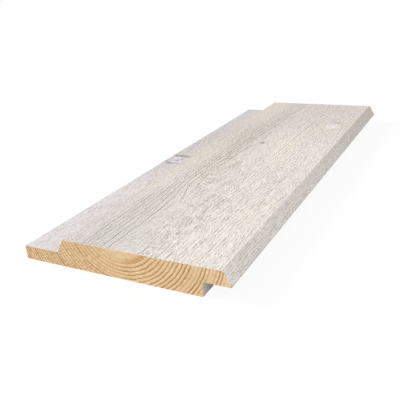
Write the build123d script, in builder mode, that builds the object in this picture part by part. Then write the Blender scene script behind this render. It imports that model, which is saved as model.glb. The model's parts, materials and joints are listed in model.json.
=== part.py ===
"""Half-lap cladding board: one planed length of softwood with a lip along each long edge.

The lower lip lies along the left edge, level with the back, and the upper lip stands out along
the right edge, level with the face. The upper lip of one board laps over the lower lip of the
next, and the two bevelled edges then leave an open channel between their faces.

Millimetres. X runs across the board, Y along it, and Z up out of the back face, on which the
board lies. The origin is in the middle of the overall width and length, on the back face.
"""

import os
from math import cos, radians, sin, tan

from build123d import *

# Driving dimensions
board_length = 370.0
board_width = 145.0  # over both lips
board_thickness = 19.0
lap_height = 9.5  # from the back up to the underside of the upper lip
lap_clearance = 0.25  # between two lapped lips, so that both boards still sit on their backs
lower_lip_width = 27.0  # from the left edge to the foot of the step
upper_lip_width = 17.5  # from the rebate wall to the rounded nose
step_bevel = 30.0  # lean of the step up to the face, in degrees from square
edge_bevel = 30.0  # lean of the right edge, in degrees from square
face_arris = 1.2  # radius that eases each edge of the face
nose_radius = 0.6  # radius at the tip of the upper lip
back_arris = 0.4  # radius that eases the square corners of the back and the lower lip

# Places across the section
left_edge = -board_width / 2
right_edge = board_width / 2
rebate_wall = right_edge - upper_lip_width
lower_lip_top = lap_height - lap_clearance
step_foot = left_edge + lower_lip_width
step_top = step_foot + (board_thickness - lower_lip_top) * tan(radians(step_bevel))

# The nose comes to a point in the drawing, as far past the right edge as the rounding takes off
lean = radians(edge_bevel)
nose_point = right_edge + nose_radius * ((1 + sin(lean)) / cos(lean) - 1)
edge_top = nose_point - (board_thickness - lap_height) * tan(lean)

with BuildPart() as cladding_board:
    # The section, drawn across the near end
    with BuildSketch(Plane.XZ.offset(board_length / 2)) as section:
        with BuildLine():
            Polyline(
                (left_edge, 0),
                (left_edge, lower_lip_top),
                (step_foot, lower_lip_top),
                (step_top, board_thickness),
                (edge_top, board_thickness),
                (nose_point, lap_height),
                (rebate_wall, lap_height),
                (rebate_wall, 0),
                close=True,
            )
        make_face()

        # Eased corners: the nose, the two edges of the face, the two of the back, the lower lip's
        fillet(section.vertices().sort_by(Axis.X)[-1], radius=nose_radius)
        fillet(section.vertices().group_by(Axis.Y)[-1], radius=face_arris)
        fillet(section.vertices().group_by(Axis.Y)[0], radius=back_arris)
        fillet(section.vertices().group_by(Axis.X)[0].sort_by(Axis.Y)[-1], radius=back_arris)

    # The board, planed to that section from end to end and sawn off square
    extrude(amount=-board_length)

cladding_board.part.label = "cladding_board"

os.makedirs("parts", exist_ok=True)
export_step(cladding_board.part, "parts/cladding_board.step")
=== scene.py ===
"""Looks of the half-lap cladding board: brushed and whitewashed softwood with bare sawn ends.

X runs across the board, Y along it from the near end to the far one, and Z up out of the back face. Sizes of
the board are in millimetres. The floor, the lamps and the camera are in metres.
"""

import itertools
import json
from math import acos, cos, pi, radians, sin, tan

import bpy
import numpy as np
from mathutils import Euler, Matrix, Vector


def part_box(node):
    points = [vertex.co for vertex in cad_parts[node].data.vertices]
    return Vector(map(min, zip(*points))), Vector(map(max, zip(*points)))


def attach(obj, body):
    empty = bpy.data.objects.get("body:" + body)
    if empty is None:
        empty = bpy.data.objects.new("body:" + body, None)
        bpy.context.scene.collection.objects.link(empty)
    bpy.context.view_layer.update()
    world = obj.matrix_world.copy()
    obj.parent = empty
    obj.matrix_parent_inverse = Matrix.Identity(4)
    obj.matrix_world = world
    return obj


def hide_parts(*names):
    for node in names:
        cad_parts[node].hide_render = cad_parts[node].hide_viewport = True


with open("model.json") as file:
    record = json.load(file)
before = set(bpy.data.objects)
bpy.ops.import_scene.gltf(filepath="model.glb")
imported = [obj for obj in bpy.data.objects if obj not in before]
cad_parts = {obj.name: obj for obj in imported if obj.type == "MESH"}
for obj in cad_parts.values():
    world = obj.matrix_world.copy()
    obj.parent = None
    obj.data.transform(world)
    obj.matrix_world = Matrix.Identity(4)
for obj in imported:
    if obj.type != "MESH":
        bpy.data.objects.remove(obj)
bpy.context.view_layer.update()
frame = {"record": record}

# The board
# One flat-sawn length of pine, planed to a lapped section all along and sawn off square. Its face side is
# brushed, which hollows the spring wood between the ridges of summer wood. All but the sawn ends is
# whitewashed with a thin matt coat.

METRES = 0.001
low, high = (np.array(corner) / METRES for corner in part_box("cladding_board"))
left_edge, near_end, back = low
right_edge, far_end, face = high
board_length = far_end - near_end

# How the tree grew: the board was cut beside its heart, so the pith runs above the face. It dips towards the
# face part of the way along and swings to the right. The growth rings lie round it.
pith_near = (2.3, 33.0)  # x and z of the pith at the near end
pith_dip, dip_start, dip_end = 3.9, -125.0, -58.0  # how far it comes down, and from where to where
pith_rise, rise_start, rise_end = 3.6, -60.0, 177.0  # how far it goes up again
pith_swing, swing_start, swing_end = 4.3, -63.0, 141.0  # and how far to the right
ring_squeeze = 1.075  # rings are this much closer together upwards than across
ring_taper = 0.043  # rings are this much wider at the far end
rings_per_mm = 0.2763  # at the pith
rings_gained = 0.00166  # rings get narrower outwards, by this many per mm each mm
first_ring = -3.38
slow_drift, quick_drift = 0.30, 0.20  # how far the rings stray from their true round

# Rings more on the left: how many before and after a bend, and where the bend starts and ends
left_near, left_far, bend_start, bend_end = 0.19, -0.60, -110.0, -65.0
left_radius, left_reach = 7.2, 18.1  # how far from the pith there are most of them, and how far that reaches

# Knots that the rings bend round: x and y of each, its reach across and along, and its push on the rings
knots = (
    (-64, -5, 13, 14, 2.6),
    (3.8, 33.6, 5, 11, 1.3),
    (51, 108, 8, 14, 2.0),
    (-6.6, -15.7, 4, 8, 0.8),
    (16.2, -26.4, 4, 8, -0.9),
)


def smooth_step(value, start, end):
    """0 before start, 1 after end, and 3s2 - 2s3 of the share s of the way between them."""
    share = np.clip((value - start) / (end - start), 0, 1)
    return share * share * (3 - 2 * share)


def lattice_noise(places, cells, seed):
    """Smooth noise from -1 to 1: random values at the corners of a lattice of such cells, blended along each
    axis by the smooth step of the share of the way through the cell."""
    size = 64
    table = np.random.default_rng(seed).uniform(-1, 1, (size,) * len(cells))
    scaled = [np.asarray(place, float) / cell for place, cell in zip(places, cells)]
    corners = [np.floor(place).astype(int) for place in scaled]
    shares = [smooth_step(place - corner, 0, 1) for place, corner in zip(scaled, corners)]
    total = 0.0
    for step in itertools.product((0, 1), repeat=len(cells)):
        weight = 1.0
        for side, share in zip(step, shares):
            weight = weight * (share if side else 1 - share)
        total = total + weight * table[tuple((corner + side) % size for corner, side in zip(corners, step))]
    return total


def from_pith(x, y, z):
    """Steps across and up from the pith's line to a point, the step up squeezed like the rings. The pith's
    line takes a smooth step down, one up again and one to the right."""
    pith_x = pith_near[0] + pith_swing * smooth_step(y, swing_start, swing_end)
    pith_z = pith_near[1] - pith_dip * smooth_step(y, dip_start, dip_end)
    pith_z = pith_z + pith_rise * smooth_step(y, rise_start, rise_end)
    return x - pith_x, (z - pith_z) * ring_squeeze


def ring_count(x, y, z):
    """Rings between a point and the pith: the distance from the pith's line, with some drift and the push of
    the knots, times the rings per millimetre, which rise with that distance. On the left a bell curve of the
    distance adds part of a ring, and takes some away beyond the bend."""
    across_pith, above_pith = from_pith(x, y, z)
    radius = np.hypot(across_pith, above_pith) / (1 + ring_taper * (y - near_end) / board_length)
    for knot_x, knot_y, reach_across, reach_along, push in knots:
        nearness = np.exp(-((x - knot_x) / reach_across) ** 2 - ((y - knot_y) / reach_along) ** 2)
        radius = radius + push * nearness
    radius = radius + slow_drift * lattice_noise((x, y, z), (18, 60, 18), 11)
    radius = radius + quick_drift * lattice_noise((x, y, z), (5, 22, 5), 12)
    count = first_ring + radius * (rings_per_mm + rings_gained * radius)
    left_extra = left_near + (left_far - left_near) * smooth_step(y, bend_start, bend_end)
    bell = np.exp(-((radius - left_radius) / left_reach) ** 2)
    return count + left_extra * smooth_step(across_pith, 4, -8) * bell


def ring_crowding(x, y, z):
    """Rings that one millimetre across the board passes: the rings per millimetre outwards at that distance
    from the pith, times the share of the way outwards that runs across, and at least one in eight."""
    across_pith, above_pith = from_pith(x, y, z)
    radius = np.hypot(across_pith, above_pith)
    outwards = rings_per_mm + 2 * rings_gained * radius
    return np.maximum(outwards * np.abs(across_pith) / radius, 0.125)


# The section. Its two lap heights and the wall of its rebate are where the part's own mounts are.
mounts = {mount["name"]: np.array(mount["pos_m"]) / METRES for mount in frame["record"]["mounts"]}
lower_lip_top = mounts["lower_lip_seat"][2]
lap_height = mounts["upper_lip_seat"][2]
rebate_wall = mounts["rebate_wall"][0]
lower_lip_width = 27.0
step_bevel = radians(30)
edge_bevel = radians(30)
face_arris = 1.2
nose_radius = 0.6
back_arris = 0.4

# How deep the brush goes into each part of the section
face_brushing = 0.60
bevel_brushing = 0.12
step_brushing = 0.20
lip_brushing = 0.28
planed = 0.04


def unit(vector):
    """The vector at length one."""
    return vector / np.linalg.norm(vector)


def eased(before, corner, after, radius, steps):
    """Points round an eased corner: the arc of that radius that touches both sides, tangent to tangent."""
    to_before = unit(before - corner)
    to_after = unit(after - corner)
    half = acos(to_before @ to_after) / 2
    middle = corner + unit(to_before + to_after) * radius / sin(half)
    arm = corner + to_before * radius / tan(half) - middle
    end = corner + to_after * radius / tan(half) - middle
    turn = np.linspace(0, pi - 2 * half, steps + 1) * np.sign(arm[0] * end[1] - arm[1] * end[0])
    return middle + np.stack((arm[0] * np.cos(turn) - arm[1] * np.sin(turn),
                              arm[0] * np.sin(turn) + arm[1] * np.cos(turn)), axis=1)


def run(start, end, steps):
    """Evenly spaced points of a straight side, without its two ends."""
    return np.linspace(start, end, steps + 1)[1:-1]


step_foot_x = left_edge + lower_lip_width
step_top_x = step_foot_x + (face - lower_lip_top) * tan(step_bevel)
nose_x = right_edge + nose_radius * ((1 + sin(edge_bevel)) / cos(edge_bevel) - 1)
edge_top_x = nose_x - (face - lap_height) * tan(edge_bevel)

left_bottom = np.array((left_edge, back))
left_top = np.array((left_edge, lower_lip_top))
step_foot = np.array((step_foot_x, lower_lip_top))
step_top = np.array((step_top_x, face))
edge_top = np.array((edge_top_x, face))
nose = np.array((nose_x, lap_height))
rebate_corner = np.array((rebate_wall, lap_height))
heel = np.array((rebate_wall, back))

rows = 160
side_steps = 10
corner_steps, back_corner_steps = 4, 2
lip_steps, step_steps, face_steps, bevel_steps, wall_steps = 35, 14, 329, 22, 7

# The upper half of the section, from the left edge to the nose
lip_corner = eased(left_bottom, left_top, step_foot, back_arris, corner_steps)
step_corner = eased(step_foot, step_top, edge_top, face_arris, corner_steps)
edge_corner = eased(step_top, edge_top, nose, face_arris, corner_steps)
nose_arc = eased(edge_top, nose, rebate_corner, nose_radius, side_steps)
upper_parts = (
    (lip_corner, lip_brushing),
    (run(lip_corner[-1], step_foot, lip_steps), lip_brushing),
    (step_foot[None], step_brushing),
    (run(step_foot, step_corner[0], step_steps), step_brushing),
    (step_corner, step_brushing),
    (run(step_corner[-1], edge_corner[0], face_steps), face_brushing),
    (edge_corner, bevel_brushing),
    (run(edge_corner[-1], nose_arc[0], bevel_steps), bevel_brushing),
    (nose_arc[:1], planed),
)
upper = np.concatenate([part for part, brushing in upper_parts])
upper_brushing = np.concatenate([np.full(len(part), brushing) for part, brushing in upper_parts])
columns = len(upper) - 1

# The lower half, from the left edge to the nose, with one step for every four of the upper half. Its rebate's
# corner stands under the point above it, and the points of its back spread out towards the heel.
thinning = 4
heel_gap = 1.0
back_corner = eased(left_top, left_bottom, heel, back_arris, back_corner_steps)
heel_corner = eased(left_bottom, heel, rebate_corner, back_arris, back_corner_steps)
wall = run(heel_corner[-1], rebate_corner, wall_steps)
under_count = columns // thinning + 1
above_corner = int(np.searchsorted(upper[::thinning, 0], rebate_wall))
underside = run(rebate_corner, nose_arc[-1], under_count - 1 - above_corner)
after_back = len(heel_corner) + len(wall) + 1 + len(underside) + 1
back_x = upper[thinning * len(back_corner): thinning * (under_count - after_back): thinning, 0]
back_spread = heel_corner[0, 0] - heel_gap - back_x[-1]
back_x = back_x + np.interp(back_x, (step_top_x, back_x[-1]), (0, back_spread))
back_run = np.stack((back_x, np.full(len(back_x), back)), axis=1)
lower_parts = (back_corner, back_run, heel_corner, wall, rebate_corner[None], underside, nose_arc[-1:])
lower = np.concatenate(lower_parts)

# The whole outline: along the top, round the nose, back along the bottom and up the left edge. The brushing
# changes gently from part to part.
left_side = run(lower[0], upper[0], side_steps)
outline = np.concatenate((upper, nose_arc[1:-1], lower[::-1], left_side))
brushing = np.concatenate((upper_brushing, np.full(len(outline) - len(upper), planed)))
for repeat in range(2):
    brushing = (np.roll(brushing, 1) + 2 * brushing + np.roll(brushing, -1)) / 4
ahead = np.roll(outline, -1, axis=0) - outline
lengths = np.linalg.norm(ahead, axis=1)
ahead = ahead / lengths[:, None]
tangent = ahead + np.roll(ahead, 1, axis=0)
tangent = tangent / np.linalg.norm(tangent, axis=1)[:, None]
outward = np.stack((-tangent[:, 1], tangent[:, 0]), axis=1)
around = np.concatenate(((0.0,), np.cumsum(lengths)))
points = len(outline)

# Places on the long sides, one row for each step along
side_x = np.broadcast_to(outline[:, 0], (rows + 1, points))
side_z = np.broadcast_to(outline[:, 1], (rows + 1, points))
side_y = np.broadcast_to(np.linspace(near_end, far_end, rows + 1)[:, None], (rows + 1, points))
side_around = np.broadcast_to(around[:-1], (rows + 1, points))


def side_noise(cell_around, cell_along, seed):
    """Noise over the long sides, in cells of that size round the section and along the board."""
    return lattice_noise((side_around, side_y), (cell_around, cell_along), seed)


def along_from(start, end):
    """The smooth step of the places' y, 0 at start and 1 at end."""
    return smooth_step(side_y, start, end)


def across_from(start, end):
    """The smooth step of the places' x, 0 at start and 1 at end."""
    return smooth_step(side_x, start, end)


# Torn grain: the brush lifts lumps of fibre, in patches, on a strip right of the pith. The strip starts
# further left beyond the near end and gets narrower along the board. Towards the far end less of it is torn.
torn_start = 2 - 12 * along_from(-120, -60)
narrowing = 0.09 * np.minimum(side_y - near_end, board_length / 2)
torn = smooth_step(side_x - torn_start, -4, 12) * (1 - 0.85 * smooth_step(side_x + narrowing, 32, 46))
torn = torn * (0.4 + 0.6 * along_from(110, -90))
torn = np.clip(0.10 + 0.75 * torn + 0.22 * side_noise(15, 42, 23), 0.05, 1)
wander = side_noise(2.6, 8, 24) + 0.5 * side_noise(1.4, 4.5, 25)
side_rings = ring_count(side_x, side_y, side_z) + (0.04 + 0.20 * torn) * wander
lumps = side_noise(1.8, 6.5, 21) + 0.9 * side_noise(1.0, 4.2, 22)
fibres = side_noise(1.6, 16, 27) + 0.8 * side_noise(1.0, 8, 28)

# Trenches: the brush digs out the soft spring wood at the start of each ring
ring_start = np.abs((side_rings + 0.5) % 1.0 - 0.5)
crowding = ring_crowding(side_x, side_y, side_z) * (1 + 0.7 * along_from(-110, 110))
trench = 1 - smooth_step(ring_start / crowding, 0.05, 0.55)

# Left of the pith they are clear as far out as a ring that changes along the board, and faint beyond it. They
# also fade towards the far end and down the step.
fading_ring = 6.5 - 3.2 * along_from(-120, -70) + 1.5 * along_from(-20, 60)
left_clear = 0.70 - 0.48 * smooth_step(side_rings - fading_ring, 0, 3.5)
left_clear = left_clear * (1 - 0.25 * along_from(20, 110))
left_clear = left_clear * (1 - 0.4 * across_from(step_top_x, step_foot_x))

# Right of the pith they are faint in the innermost rings, clearer beyond and a little less so in the outer
# ones. They fade along the board and towards its right edge.
outer_rings = smooth_step(side_rings, 6, 9) * (1 - 0.6 * along_from(0, 90))
right_clear = 0.22 + 0.50 * smooth_step(side_rings, 1, 3) - 0.08 * outer_rings
right_clear = right_clear * (1 - 0.68 * along_from(-90, 40))
right_clear = right_clear - 0.15 * across_from(44, 54) * along_from(-40, 60)
right_clear = right_clear * (1 - 0.3 * across_from(54, 62))

# The two sides meet under the pith, further right where the arches are. No two rings are equally clear, and
# the bevel and the far corners show the least.
arches = along_from(-112, -90) * along_from(10, -25)
rightward = smooth_step(from_pith(side_x, side_y, side_z)[0] - 6 * arches, -6, 2)
clear = left_clear + (right_clear - left_clear) * rightward
on_bevel = across_from(edge_top_x - 1, edge_top_x)
clear = clear * (1 - 0.9 * on_bevel)
ring_odds = np.random.default_rng(3284).uniform(0.55, 1.0, 64)
clear = clear * ring_odds[np.round(side_rings).astype(int) % len(ring_odds)]
far_left = along_from(55, 140) * across_from(-10, -24)
far_right = along_from(130, 165) * across_from(48, 58)
clear = clear * (1 - 0.75 * far_left - 0.5 * far_right)

# Two rings stay clear as long lines on the right of the far half. The other trenches there break into dashes,
# most of all near the end.
long_line_rings = (5, 7)
on_long_line = np.isin(np.round(side_rings), long_line_rings)
long_lines = on_long_line * rightward * along_from(-25, 25) * (1 - on_bevel)
clear = clear + np.clip(0.48 - clear, 0, 1) * long_lines
clear = clear * (1 - 0.3 * along_from(90, 150))
dashed = rightward * (0.3 + 0.7 * along_from(60, -60)) * (1 - 0.8 * long_lines)
kept = clear * (0.25 + 0.75 * smooth_step(side_noise(2.4, 8, 26) + 0.9 * (1 - dashed), -0.45, 0.35))

# The whole relief, in shares of the brushing: wood worn away all over, the trenches, and the lumps and
# fibres, which are calmer in the far left corner and in the middle of the right half
worn_share, trench_share = 0.30, 0.55
lump_share = 0.04 + 0.16 * torn
fibre_share = 0.15 - 0.05 * torn
calm = along_from(-60, -10) * along_from(115, 60) * across_from(-8, 6) * across_from(42, 30)
rough = (1 - 0.5 * far_left - 0.22 * calm) * (1 - 0.1 * along_from(60, 150))
depth = worn_share + trench_share * kept * trench + rough * (lump_share * lumps + fibre_share * fibres)
depth = np.clip(depth, 0, 1)
sunk = brushing * depth
sides = np.stack((side_x - outward[:, 0] * sunk, side_y, side_z - outward[:, 1] * sunk), axis=2)

# The sawn ends: straight lines from the upper half to the lower half, with faint saw marks
saw_depth = 0.04
lower_index = np.arange(columns + 1) / thinning
spread_lower = [np.interp(lower_index, np.arange(len(lower)), lower[:, axis]) for axis in (0, 1)]
spread_lower = np.stack(spread_lower, axis=1)
share_down = np.linspace(0, 1, side_steps + 1)[1:-1, None, None]
end_places = (upper * (1 - share_down) + spread_lower * share_down)[:, 1:-1]
saw_marks = saw_depth * (1 + lattice_noise((end_places[..., 0], end_places[..., 1]), (2.5, 30), 31))


def sawn_end(y, inward):
    """The inner points of one end: its ruled grid, with each point let in by the saw marks."""
    return np.stack((end_places[..., 0], y + inward * saw_marks, end_places[..., 1]), axis=2)


ends = np.concatenate((sawn_end(near_end, 1).reshape(-1, 3), sawn_end(far_end, -1).reshape(-1, 3)))
vertices = np.concatenate((sides.reshape(-1, 3), ends))

# Faces of the long sides, a quad for each step along and around
number = np.arange((rows + 1) * points).reshape(rows + 1, points)
beside = np.roll(number, -1, axis=1)
side_quads = np.stack((number[:-1], beside[:-1], beside[1:], number[1:]), axis=2).reshape(-1, 4)


def end_faces(rim, first_inner, outward_y):
    """Quads of one end's grid, and wider faces along its lower half, each with one step there and four
    above."""
    lower_start = columns + side_steps
    grid = np.empty((side_steps, columns + 1), int)
    grid[0] = rim[: columns + 1]
    grid[1:, -1] = rim[columns + 1: lower_start]
    grid[1:, 0] = rim[lower_start + under_count:][::-1]
    inner = np.arange((side_steps - 1) * (columns - 1)).reshape(side_steps - 1, -1)
    grid[1:, 1:-1] = first_inner + inner
    lower_rim = rim[lower_start: lower_start + under_count][::-1]
    grid_quads = np.stack((grid[:-1, :-1], grid[:-1, 1:], grid[1:, 1:], grid[1:, :-1]), axis=2).reshape(-1, 4)
    steps_above = [grid[-1, step: columns + step - thinning + 1: thinning] for step in range(thinning + 1)]
    wide = np.stack((*steps_above, lower_rim[1:], lower_rim[:-1]), axis=1)
    if outward_y < 0:
        return grid_quads[:, ::-1], wide[:, ::-1]
    return grid_quads, wide


inner_count = end_places.shape[0] * end_places.shape[1]
near_quads, near_wide = end_faces(number[0], number.size, -1)
far_quads, far_wide = end_faces(number[-1], number.size + inner_count, 1)
quads = np.concatenate((side_quads, near_quads, far_quads))
wide_faces = np.concatenate((near_wide, far_wide))
board_mesh = bpy.data.meshes.new("cladding_board_dressed")
board_mesh.from_pydata((vertices * METRES).tolist(), [], quads.tolist() + wide_faces.tolist())


def note(name, on_sides, on_ends):
    """Keeps one number for each point of the mesh, for the materials to read."""
    side_values = np.broadcast_to(on_sides, side_x.shape).ravel()
    values = np.concatenate((side_values, np.broadcast_to(on_ends, len(ends)))).astype(np.float32)
    board_mesh.attributes.new(name, "FLOAT", "POINT").data.foreach_set("value", values)


def bearing(x, y, z):
    """The angle round the pith, 0 straight down and growing to the right."""
    across_pith, above_pith = from_pith(x, y, z)
    return np.arctan2(across_pith, -above_pith)


note("ring", side_rings, ring_count(*ends.T))
note("bearing", bearing(side_x, side_y, side_z), bearing(*ends.T))
note("hollow", depth, 0.0)
note("kept", kept, 0.0)
note("crowding", crowding, 1.0)
note("on_bevel", on_bevel, 0.0)
note("torn", torn, 0.0)
note("dashed", dashed, 0.0)
note("rough", rough, 0.0)
note("brushed", brushing / face_brushing, 0.0)

# The map that a finish can be laid out on: the long sides unrolled, with the two ends beside them
map_size = 415
end_gap = 3.0
side_map = np.stack(np.meshgrid(around, side_y[:, 0] - near_end), axis=2)
side_map = np.stack((side_map[:-1, :-1], side_map[:-1, 1:], side_map[1:, 1:], side_map[1:, :-1]), axis=2)
end_corners = np.concatenate((near_quads.ravel(), far_quads.ravel(), near_wide.ravel(), far_wide.ravel()))
end_map = vertices[end_corners][:, (0, 2)] - (left_edge, back) + (end_gap, board_length + end_gap)
end_map[:, 0] += np.where(vertices[end_corners, 1] > 0, right_edge - left_edge + end_gap, 0)
finish_map = np.concatenate((side_map.reshape(-1, 2), end_map)) / map_size
board_mesh.uv_layers.new(name="OFBake").uv.foreach_set("vector", finish_map.astype(np.float32).ravel())

# The ends take the second material, and their rims stay sharp
material_index = np.zeros(len(quads) + len(wide_faces), np.int32)
material_index[len(side_quads):] = 1
board_mesh.polygons.foreach_set("material_index", material_index)
board_mesh.polygons.foreach_set("use_smooth", np.ones(len(material_index), bool))
edge_ends = np.empty(2 * len(board_mesh.edges), np.int32)
board_mesh.edges.foreach_get("vertices", edge_ends)
edge_ends = edge_ends.reshape(-1, 2)
on_near_rim = (edge_ends < points).all(axis=1)
on_far_rim = ((edge_ends >= rows * points) & (edge_ends < number.size)).all(axis=1)
board_mesh.edges.foreach_set("use_edge_sharp", on_near_rim | on_far_rim)
board_mesh.update()

board = bpy.data.objects.new("cladding_board_dressed", board_mesh)
bpy.context.scene.collection.objects.link(board)


def put(tree, kind, inputs=(), output=0, **settings):
    """Adds a node to a material with these settings and inputs, and gives back its output. A socket is linked
    and anything else becomes the input's own value."""
    node = tree.nodes.new(kind)
    for name, value in settings.items():
        setattr(node, name, value)
    for name, value in dict(inputs).items():
        if isinstance(value, bpy.types.NodeSocket):
            tree.links.new(value, node.inputs[name])
        else:
            node.inputs[name].default_value = value
    return node.outputs[output]


def calc(tree, operation, first, second=0.0, third=0.0):
    """A Math node on up to three values."""
    return put(tree, "ShaderNodeMath", {0: first, 1: second, 2: third}, operation=operation)


def times(tree, product, *factors):
    """The product of all the values."""
    for factor in factors:
        product = calc(tree, "MULTIPLY", product, factor)
    return product


def ramp(tree, value, start, end, low_value=0.0, high_value=1.0):
    """A smooth step of a value from low_value at start to high_value at end."""
    inputs = {"Value": value, "From Min": start, "From Max": end, "To Min": low_value, "To Max": high_value}
    return put(tree, "ShaderNodeMapRange", inputs, interpolation_type="SMOOTHSTEP")


def blend(tree, share, first, second, blend_type="MIX"):
    """One colour laid over another by a share."""
    inputs = {0: share, 6: first, 7: second}
    return put(tree, "ShaderNodeMix", inputs, 2, data_type="RGBA", blend_type=blend_type)


def between(tree, share, first, second):
    """A value that share of the way from the first to the second."""
    return put(tree, "ShaderNodeMix", {0: share, 2: first, 3: second}, data_type="FLOAT")


def noted(tree, name):
    """A number kept on the mesh."""
    return put(tree, "ShaderNodeAttribute", output="Fac", attribute_name=name)


def place(tree):
    """The point's own place on the piece, in metres."""
    return put(tree, "ShaderNodeTexCoord", output="Object")


def measured(tree, axis):
    """The point's place along one axis of the piece, in millimetres."""
    return calc(tree, "DIVIDE", put(tree, "ShaderNodeSeparateXYZ", {"Vector": place(tree)}, axis), METRES)


def noise_at(tree, vector, detail=2.0, roughness=0.5):
    """Noise from 0 to 1, in cells of one unit."""
    inputs = {"Vector": vector, "Scale": 1.0, "Detail": detail, "Roughness": roughness}
    return put(tree, "ShaderNodeTexNoise", inputs)


def grain_noise(tree, cell_across, cell_along, detail=2.0, roughness=0.5):
    """Noise on the piece's own coordinates, in cells of that many millimetres across and along."""
    scale = tuple(1 / (cell * METRES) for cell in (cell_across, cell_along, cell_across))
    vector = put(tree, "ShaderNodeMapping", {"Vector": place(tree), "Scale": scale})
    return noise_at(tree, vector, detail, roughness)


def spot(tree, where, middle, size, turn=0.0, soft=0.5):
    """1 inside an ellipsoid of that middle and half size in millimetres, turned about Z by that many degrees,
    and 0 outside it, with an edge as soft as said."""
    inputs = {"Vector": where, "Rotation": (0, 0, radians(turn)),
              "Location": tuple(np.array(middle) * METRES), "Scale": tuple(np.array(size) * METRES)}
    local = put(tree, "ShaderNodeMapping", inputs, vector_type="TEXTURE")
    distance = put(tree, "ShaderNodeVectorMath", {0: local}, "Value", operation="LENGTH")
    return ramp(tree, distance, 1 - soft, 1 + soft, 1.0, 0.0)


def painted(red, green, blue):
    """A screen colour, 0 to 255, as the linear colour that a shader takes."""
    screen = np.array((red, green, blue)) / 255
    linear = np.where(screen <= 0.04045, screen / 12.92, ((screen + 0.055) / 1.055) ** 2.4)
    return (*linear.tolist(), 1.0)


def new_material(name):
    """A node material, with its tree and its Principled shader."""
    material = bpy.data.materials.new(name)
    material.use_nodes = True
    return material.node_tree, material.node_tree.nodes["Principled BSDF"], material


# Whitewash: a thin matt coat, cream or lilac by turns, chalky in some clouds and darker in others
tree, shader, whitewash = new_material("whitewash_on_brushed_wood")
across, along, up = (measured(tree, axis) for axis in "XYZ")
brushed_share = noted(tree, "brushed")
drifts = grain_noise(tree, 26, 80, 2)
clouds = grain_noise(tree, 5, 16, 3, 0.6)
cream, lilac = painted(241, 234, 223), painted(240, 231, 225)
chalk, shade = painted(242, 236, 229), painted(216, 208, 201)
colour = blend(tree, ramp(tree, drifts, 0.36, 0.64), cream, lilac)
colour = blend(tree, ramp(tree, clouds, 0.50, 0.78, 0.0, 0.22), colour, chalk)
colour = blend(tree, ramp(tree, clouds, 0.22, 0.48, 0.12, 0.0), colour, shade)

# The coat is cooler at the near left, and greyer on the left and far away, where it went on thinner
cool_grey, thin_grey, far_grey = painted(221, 217, 217), painted(212, 207, 206), painted(236, 234, 231)
cool = times(tree, ramp(tree, along, -70, -170), ramp(tree, across, 34, 0, 0.0, 0.6))
colour = blend(tree, cool, colour, cool_grey)
thin = calc(tree, "MAXIMUM", ramp(tree, across, 30, -12), ramp(tree, along, 0, 170))
colour = blend(tree, times(tree, thin, 0.37), colour, thin_grey, "MULTIPLY")
thin_far_left = times(tree, ramp(tree, along, -70, 130), ramp(tree, across, 30, -20, 0.18, 0.46))
colour = blend(tree, thin_far_left, colour, far_grey, "MULTIPLY")

# It is streaky on the step, lilac on the lip and grey on the sides that are only planed. That grey is partly
# the coat's own and partly painted shade, as in the rebate under the lip.
step_grey, planed_grey_and_shade = painted(222, 219, 217), painted(182, 173, 167)
lip_near_lilac, lip_far_lilac = painted(223, 218, 220), painted(206, 202, 202)
step_spill, step_inset = 0.3, 0.9
on_step = times(tree, ramp(tree, across, step_top_x + step_spill, step_top_x - step_inset),
                ramp(tree, across, step_foot_x - step_inset, step_foot_x + step_spill))
step_streaks = ramp(tree, grain_noise(tree, 1.2, 12, 2), 0.38, 0.62, 0.25, 1.0)
colour = blend(tree, times(tree, on_step, step_streaks), colour, step_grey, "MULTIPLY")
lip_coat = blend(tree, ramp(tree, along, -90, 10), lip_near_lilac, lip_far_lilac)
colour = blend(tree, ramp(tree, across, -42, -66, 0.0, 0.85), colour, lip_coat)
colour = blend(tree, ramp(tree, brushed_share, 0.12, 0.08, 0.0, 0.7), colour, planed_grey_and_shade)

# Wood shows through in the hollows of the brushed sides, less on the bevel. The greys of the hollows and of
# the ring lines below are partly that wood and partly painted shade in these sunk places.
groove_wood_and_shade_grey, line_wood_and_shade_grey = painted(174, 164, 155), painted(150, 140, 130)
brushed_side = ramp(tree, brushed_share, 0.05, 0.6)
bevel_share = noted(tree, "on_bevel")
off_bevel = calc(tree, "SUBTRACT", 1.0, bevel_share)
groove = times(tree, ramp(tree, noted(tree, "hollow"), 0.45, 0.85), brushed_side,
               ramp(tree, bevel_share, 0.0, 1.0, 1.0, 0.3))
colour = blend(tree, times(tree, groove, 0.30), colour, groove_wood_and_shade_grey)

# It shows most in a thin crinkled line where each ring starts, nibbled all along and broken into dashes on
# the right, and in a second line half way through the ring. The grey of both sunk lines is partly painted
# shade in them.
ring = noted(tree, "ring")
kept_share = noted(tree, "kept")
crowded = noted(tree, "crowding")
torn_share = times(tree, noted(tree, "torn"), off_bevel)
dashed_share = times(tree, noted(tree, "dashed"), off_bevel)
crinkle = calc(tree, "SUBTRACT", grain_noise(tree, 1.9, 4.2, 3), 0.5)
crinkle = times(tree, crinkle, ramp(tree, torn_share, 0.0, 1.0, 0.2, 1.5))
from_start = calc(tree, "PINGPONG", calc(tree, "ADD", ring, crinkle), 0.5)
line_distance = calc(tree, "DIVIDE", from_start, crowded)
broken = between(tree, dashed_share, 1.0, ramp(tree, grain_noise(tree, 2.0, 4.2, 1), 0.43, 0.57))
nibbled = ramp(tree, grain_noise(tree, 1.3, 3.4, 1), 0.32, 0.55, 0.4, 1.0)
line = times(tree, ramp(tree, line_distance, 0.07, 0.38, 1.0, 0.0), kept_share, broken, nibbled, brushed_side)
colour = blend(tree, times(tree, line, 0.36), colour, line_wood_and_shade_grey)
half_distance = calc(tree, "DIVIDE", calc(tree, "SUBTRACT", 0.5, from_start), crowded)
half_broken = ramp(tree, grain_noise(tree, 1.8, 4.5, 1), 0.42, 0.58)
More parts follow.
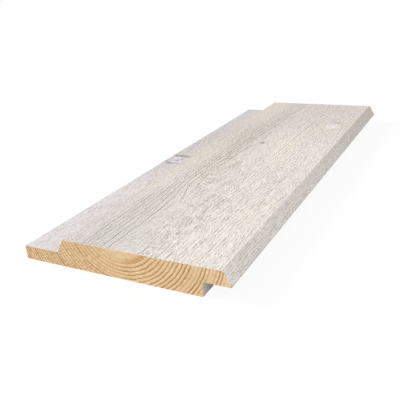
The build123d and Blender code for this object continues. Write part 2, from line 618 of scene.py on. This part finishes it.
half_line = ramp(tree, half_distance, 0.06, 0.34, 1.0, 0.0)
half_line = times(tree, half_line, kept_share, half_broken, brushed_side)
colour = blend(tree, times(tree, half_line, 0.40), colour, line_wood_and_shade_grey)

# Faint dashes follow the rings on the right
dash_grey = painted(176, 167, 158)
dashes_per_ring, dash_length = 2.4, 5.5
dash_place = {"X": times(tree, ring, dashes_per_ring), "Y": calc(tree, "DIVIDE", along, dash_length)}
dashes = noise_at(tree, put(tree, "ShaderNodeCombineXYZ", dash_place), 1.0)
dashes = times(tree, ramp(tree, dashes, 0.42, 0.58), dashed_share)
colour = blend(tree, times(tree, dashes, 0.08), colour, dash_grey)

# The bevel cuts the grain in fine pale and dark stripes that sway along it, strongest near the end
stripe_pale, stripe_dark = painted(244, 240, 236), painted(189, 181, 175)
stripe_pitch = 1.4
stripe_sway = times(tree, grain_noise(tree, 1.6, 24, 2), 9.0)
stripes = calc(tree, "SINE", calc(tree, "MULTIPLY_ADD", up, 2 * pi / stripe_pitch, stripe_sway))
stripes = blend(tree, ramp(tree, stripes, -0.8, 0.8), stripe_pale, stripe_dark)
striped = times(tree, bevel_share, ramp(tree, along, -20, -130, 0.48, 0.60),
                ramp(tree, grain_noise(tree, 1.5, 7, 1), 0.38, 0.60, 0.30, 1.0))
colour = blend(tree, striped, colour, stripes)

# Cracks part the torn lumps. Their grey is partly painted shade inside the cracks.
crack_and_shade_grey = painted(160, 150, 141)
split = calc(tree, "ABSOLUTE", calc(tree, "SUBTRACT", grain_noise(tree, 2.4, 8, 2), 0.5))
crack = times(tree, ramp(tree, split, 0.004, 0.030, 1.0, 0.0), torn_share,
              ramp(tree, grain_noise(tree, 5, 14, 1), 0.42, 0.58), brushed_side)
colour = blend(tree, times(tree, crack, 0.34), colour, crack_and_shade_grey)

# Fine fibres lie all over, most on the near part of the lip, with specks, most on the bevel, and a few
# strands in the far half
fibre_grey, speck_grey, strand_grey = painted(190, 181, 172), painted(178, 170, 162), painted(180, 172, 164)
rough_share = noted(tree, "rough")
fine_fibres = grain_noise(tree, 0.8, 6, 2, 0.6)
lip_near = times(tree, ramp(tree, across, -42, -48), ramp(tree, along, -10, -60))
fibre_tint = times(tree, ramp(tree, fine_fibres, 0.50, 0.65, 0.0, 0.46), rough_share,
                   calc(tree, "MULTIPLY_ADD", lip_near, 0.7, 1.0))
colour = blend(tree, fibre_tint, colour, fibre_grey)
specks = grain_noise(tree, 0.7, 1.7, 2, 0.6)
speck_tint = times(tree, ramp(tree, specks, 0.52, 0.70), rough_share,
                   calc(tree, "MULTIPLY_ADD", bevel_share, 0.52, 0.48))
colour = blend(tree, speck_tint, colour, speck_grey)
far_half = times(tree, ramp(tree, along, -100, 80), ramp(tree, along, 100, 160, 1.0, 0.5))
strands = ramp(tree, grain_noise(tree, 2.0, 7, 1), 0.42, 0.62)
strands = times(tree, strands, far_half, rough_share, off_bevel)
colour = blend(tree, times(tree, strands, 0.07), colour, strand_grey)

# Knots: the dark edges and lilac heart of a branch cut lengthwise on the lip, and small ones on the face.
# Each mark has its middle, its half size across and along, its turn, its colour and how much of it there is.
ragged_cell, ragged_shift = 3.125, 9.0
ragged_noise = {"Vector": place(tree), "Scale": 1 / (ragged_cell * METRES), "Detail": 3.0}
ragged = put(tree, "ShaderNodeTexNoise", ragged_noise, "Color")
ragged = put(tree, "ShaderNodeVectorMath", {0: ragged, 1: (0.5, 0.5, 0.5)}, operation="SUBTRACT")
ragged = put(tree, "ShaderNodeVectorMath", {0: ragged, "Scale": ragged_shift * METRES}, operation="SCALE")
ragged = put(tree, "ShaderNodeVectorMath", {0: place(tree), 1: ragged})
knot_grey, knot_brown, knot_dark = painted(158, 150, 155), painted(166, 150, 141), painted(136, 118, 102)
knot_lilac, knot_chalk, knot_green = painted(207, 202, 214), painted(240, 240, 233), painted(200, 198, 190)
knot_marks = (
    ((-67.5, 14, lower_lip_top), (5, 7), 0, knot_green, 0.55),
    ((-62.5, -4, lower_lip_top), (8, 8), 0, knot_lilac, 0.65),
    ((-64.5, -1.5, lower_lip_top), (2.4, 2.4), 0, knot_chalk, 0.4),
    ((-63.5, -10.4, lower_lip_top), (1.8, 1.8), 0, knot_chalk, 0.6),
    ((-58.2, -11.7, lower_lip_top), (1.8, 1.8), 0, knot_chalk, 0.5),
    ((-59.5, -3, lower_lip_top), (2.8, 1.6), 10, knot_grey, 0.5),
    ((-64.5, 5.4, lower_lip_top), (8, 1.9), -4, knot_dark, 0.9),
    ((-58, 3.4, lower_lip_top), (3.5, 1.2), -8, knot_brown, 0.7),
    ((-62.4, -7.4, lower_lip_top), (2.4, 1.3), 10, knot_grey, 0.9),
    ((-57.8, -14.6, lower_lip_top), (3.6, 1.4), 14, knot_grey, 0.9),
    ((-65.6, -14.4, lower_lip_top), (3.4, 2.2), 14, knot_grey, 0.9),
    ((-71.8, -9.5, lower_lip_top), (1.2, 6), 0, knot_grey, 0.8),
    ((5.0, 32.4, face), (1.7, 5.0), 0, knot_brown, 0.95),
    ((45.5, 119, face), (5, 8), 0, knot_lilac, 0.35),
    ((50.4, 97.5, face), (5.2, 8), 0, knot_chalk, 0.6),
    ((52.5, 111.7, face), (3.2, 2.8), 0, knot_brown, 0.65),
    ((-6.6, -15.7, face), (2.2, 6), 0, knot_brown, 0.40),
    ((6.0, -29.0, face), (3.0, 8), 0, knot_brown, 0.28),
    ((28, -98, face), (0.7, 2.4), 0, knot_dark, 0.75),
)
knot_reach_down, knot_softness = 4.0, 0.7
for middle, half_size, turn, knot_colour, amount in knot_marks:
    inside = spot(tree, ragged, middle, (*half_size, knot_reach_down), turn, knot_softness)
    colour = blend(tree, times(tree, inside, amount), colour, knot_colour)

# Relief too fine for the mesh, in millimetres: wrinkles of the torn grain, fibres and specks stand up, and
# the strands, lines, dashes and cracks are sunk
fibre_rise, speck_rise = 0.50, 0.30
wrinkles = ramp(tree, grain_noise(tree, 1.5, 4.2, 2), 0.40, 0.60)
height = times(tree, wrinkles, ramp(tree, torn_share, 0.0, 1.0, 0.10, 0.22))
height = calc(tree, "MULTIPLY_ADD", fine_fibres, fibre_rise, height)
height = calc(tree, "MULTIPLY_ADD", specks, speck_rise, height)
height = times(tree, height, rough_share, ramp(tree, bevel_share, 0.0, 1.0, 1.0, 0.6))
line_flank = times(tree, ramp(tree, line_distance, 0.1, 0.85, 1.0, 0.0), kept_share, brushed_side)
sunk_marks = (
    (strands, 0.28),
    (line_flank, 0.32),
    (line, 0.45),
    (half_line, 0.50),
    (dashes, 0.20),
    (crack, 0.30),
)
for sunk_mark, drop in sunk_marks:
    height = calc(tree, "MULTIPLY_ADD", sunk_mark, -drop, height)
height = times(tree, height, ramp(tree, brushed_share, 0.30, 0.55, 0.9, 1.0))
bump = put(tree, "ShaderNodeBump", {"Strength": 1.0, "Distance": METRES, "Height": height}, output="Normal")
tree.links.new(bump, shader.inputs["Normal"])
tree.links.new(colour, shader.inputs["Base Color"])
shader.inputs["Roughness"].default_value = 0.8
board_mesh.materials.append(whitewash)

# Bare end grain: pale spring wood that darkens through each ring to brown summer wood, and stops at its end
tree, shader, end_grain = new_material("bare_end_grain")
ring = noted(tree, "ring")
round_pith = noted(tree, "bearing")
wobble = calc(tree, "SUBTRACT", grain_noise(tree, 3.5, 3.5, 2), 0.5)
wobbled = calc(tree, "MULTIPLY_ADD", wobble, 0.45, calc(tree, "SUBTRACT", ring, 0.27))
ring_part = calc(tree, "FRACT", wobbled)
ring_number = calc(tree, "FLOOR", wobbled)
ring_end = ramp(tree, ring_part, 0.95, 1.03, 1.0, 0.0)
shoulder = times(tree, ramp(tree, ring_part, 0.25, 0.85), ring_end)
widened = calc(tree, "ADD", ring_part, ramp(tree, ring_number, 9, 18, 0.0, 0.16))
dark = times(tree, ramp(tree, widened, 0.62, 0.92), ring_end)

# On the left all rings are half dark, the fifth and every fourth from the eighth on are darker, and every
# eighth is darkest. On the right nearly every ring is dark, and further out by fits and starts.
fourth = calc(tree, "COMPARE", calc(tree, "FLOORED_MODULO", ring_number, 4.0), 0.0, 0.5)
fourth = times(tree, fourth, calc(tree, "GREATER_THAN", ring_number, 6.0))
fourth = calc(tree, "MAXIMUM", fourth, calc(tree, "COMPARE", ring_number, 5.0, 0.5))
eighth = calc(tree, "COMPARE", calc(tree, "FLOORED_MODULO", ring_number, 8.0), 0.0, 0.5)
left_strength = calc(tree, "MULTIPLY_ADD", fourth, 0.22, calc(tree, "MULTIPLY_ADD", eighth, 0.30, 0.48))
first_fit, fit_length = 12.0, 4.7
fits = times(tree, calc(tree, "SUBTRACT", ring_number, first_fit), 2 * pi / fit_length)
fits = ramp(tree, calc(tree, "COSINE", fits), 1.0, -1.0, 0.0, 0.65)
fits = times(tree, fits, ramp(tree, ring_number, first_fit, first_fit + 2))
uneven = ramp(tree, grain_noise(tree, 9, 9, 1), 0.3, 0.7, 0.7, 1.0)
right_strength = calc(tree, "SUBTRACT", uneven, fits)
strength = between(tree, ramp(tree, round_pith, -0.25, 0.35), left_strength, right_strength)
strength = times(tree, strength, ramp(tree, ring_number, 1.0, 4.0, 0.15, 1.0))
spring_pale, spring_deep = painted(230, 203, 161), painted(223, 194, 152)
late_spring, summer = painted(200, 148, 80), painted(146, 96, 42)
colour = blend(tree, ramp(tree, grain_noise(tree, 14, 14, 2), 0.35, 0.65), spring_pale, spring_deep)
colour = blend(tree, times(tree, shoulder, 0.45, strength), colour, late_spring)
colour = blend(tree, times(tree, dark, strength), colour, summer)

# One broad orange ring low on the right of the pith, fine rays that cross the rings on the left, and pores
orange_wood, ray_wood, pore_wood = painted(188, 134, 70), painted(178, 136, 88), painted(178, 134, 84)
orange_ring = 3.35
orange = calc(tree, "ABSOLUTE", calc(tree, "SUBTRACT", wobbled, orange_ring))
orange = times(tree, ramp(tree, orange, 0.10, 0.46, 0.8, 0.0), ramp(tree, round_pith, -0.15, 0.50))
colour = blend(tree, orange, colour, orange_wood)
ray_place = {"X": times(tree, round_pith, 60.0), "Y": times(tree, ring, 0.45)}
rays = noise_at(tree, put(tree, "ShaderNodeCombineXYZ", ray_place))
rays = times(tree, ramp(tree, rays, 0.50, 0.58), ramp(tree, round_pith, 0.1, -0.7, 0.18, 0.58))
colour = blend(tree, rays, colour, ray_wood)
pores = grain_noise(tree, 0.9, 0.9, 2, 0.7)
colour = blend(tree, ramp(tree, pores, 0.50, 0.64, 0.0, 0.42), colour, pore_wood)

# Bits of the coat run over the edge
spilled_coat = painted(228, 219, 208)
spilled = calc(tree, "ADD", noted(tree, "brushed"), times(tree, pores, 0.8))
colour = blend(tree, ramp(tree, spilled, 1.22, 1.34), colour, spilled_coat)

tree.links.new(colour, shader.inputs["Base Color"])
shader.inputs["Roughness"].default_value = 0.85
board_mesh.materials.append(end_grain)

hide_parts("cladding_board")
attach(board, "root")

# Floor
# A plain white studio sweep. It looks white to the camera and still takes a faint shadow under the board.
floor_mesh = bpy.data.meshes.new("floor")
floor_half = 4.0
floor_corners = [(-floor_half, -floor_half, 0), (floor_half, -floor_half, 0),
                 (floor_half, floor_half, 0), (-floor_half, floor_half, 0)]
floor_mesh.from_pydata(floor_corners, [], [(0, 1, 2, 3)])
floor = bpy.data.objects.new("floor", floor_mesh)
bpy.context.scene.collection.objects.link(floor)
tree, shader, floor_paint = new_material("white_floor")
shader.inputs["Base Color"].default_value = (0.9, 0.9, 0.9, 1)
shader.inputs["Roughness"].default_value = 1.0


def seen_ray(tree):
    """1 for a ray that shows a surface, straight, in a gloss or through glass, and 0 for one that carries
    light."""
    light_path = tree.nodes.new("ShaderNodeLightPath")
    seen = calc(tree, "MAXIMUM", light_path.outputs["Is Camera Ray"], light_path.outputs["Is Glossy Ray"])
    return calc(tree, "MAXIMUM", seen, light_path.outputs["Is Transmission Ray"])


glow = put(tree, "ShaderNodeEmission", {"Color": (1, 1, 1, 1), "Strength": 1.0})
from_middle = put(tree, "ShaderNodeVectorMath", {0: place(tree)}, "Value", operation="LENGTH")
whiteness = times(tree, seen_ray(tree), ramp(tree, from_middle, 0.2, 0.6, 0.92, 1.0))
mixed = put(tree, "ShaderNodeMixShader", {0: whiteness, 1: shader.outputs[0], 2: glow})
tree.links.new(mixed, tree.nodes["Material Output"].inputs["Surface"])
floor_mesh.materials.append(floor_paint)

# Light
# An even white room, a soft lamp low on the left that brings out the grain, and a weaker one in front.
world = bpy.data.worlds.new("white_room")
world.use_nodes = True
bpy.context.scene.world = world
tree = world.node_tree
background = tree.nodes["Background"]
background.inputs["Color"].default_value = (1, 1, 1, 1)
room_strength = 0.56
room_light = {"Value": seen_ray(tree), "To Min": room_strength, "To Max": 1.0}
tree.links.new(put(tree, "ShaderNodeMapRange", room_light), background.inputs["Strength"])


def soft_lamp(name, stand, target, size, power):
    """A square lamp of that size in metres, facing its target."""
    lamp_data = bpy.data.lights.new(name, "AREA")
    lamp_data.shape = "SQUARE"
    lamp_data.size = size
    lamp_data.energy = power
    lamp = bpy.data.objects.new(name, lamp_data)
    lamp.location = stand
    lamp.rotation_euler = (Vector(target) - Vector(stand)).to_track_quat("-Z", "Y").to_euler()
    bpy.context.scene.collection.objects.link(lamp)


soft_lamp("key_lamp", (-2.3, -0.7, 1.6), (0, 0, 0), 0.6, 58)
soft_lamp("front_lamp", (0.38, -0.55, 0.50), (0.05, -0.15, 0), 0.2, 1.4)

# Camera
# At the photograph's place, found from the corners of the board, and tipped a little to one side.
camera_data = bpy.data.cameras.new("camera")
camera_data.sensor_width = 36
camera_data.lens = 48.73
camera_data.clip_start = 0.01
camera = bpy.data.objects.new("camera", camera_data)
camera.location = (0.17846, -0.40259, 0.16035)
azimuth, elevation, roll = radians(29.079), radians(22.467), radians(-4.400)
turned = Euler((pi / 2 - elevation, 0, azimuth)).to_matrix() @ Matrix.Rotation(roll, 3, "Z")
camera.rotation_euler = turned.to_euler()
bpy.context.scene.collection.objects.link(camera)
bpy.context.scene.camera = camera
bpy.context.scene.view_settings.view_transform = "Standard"
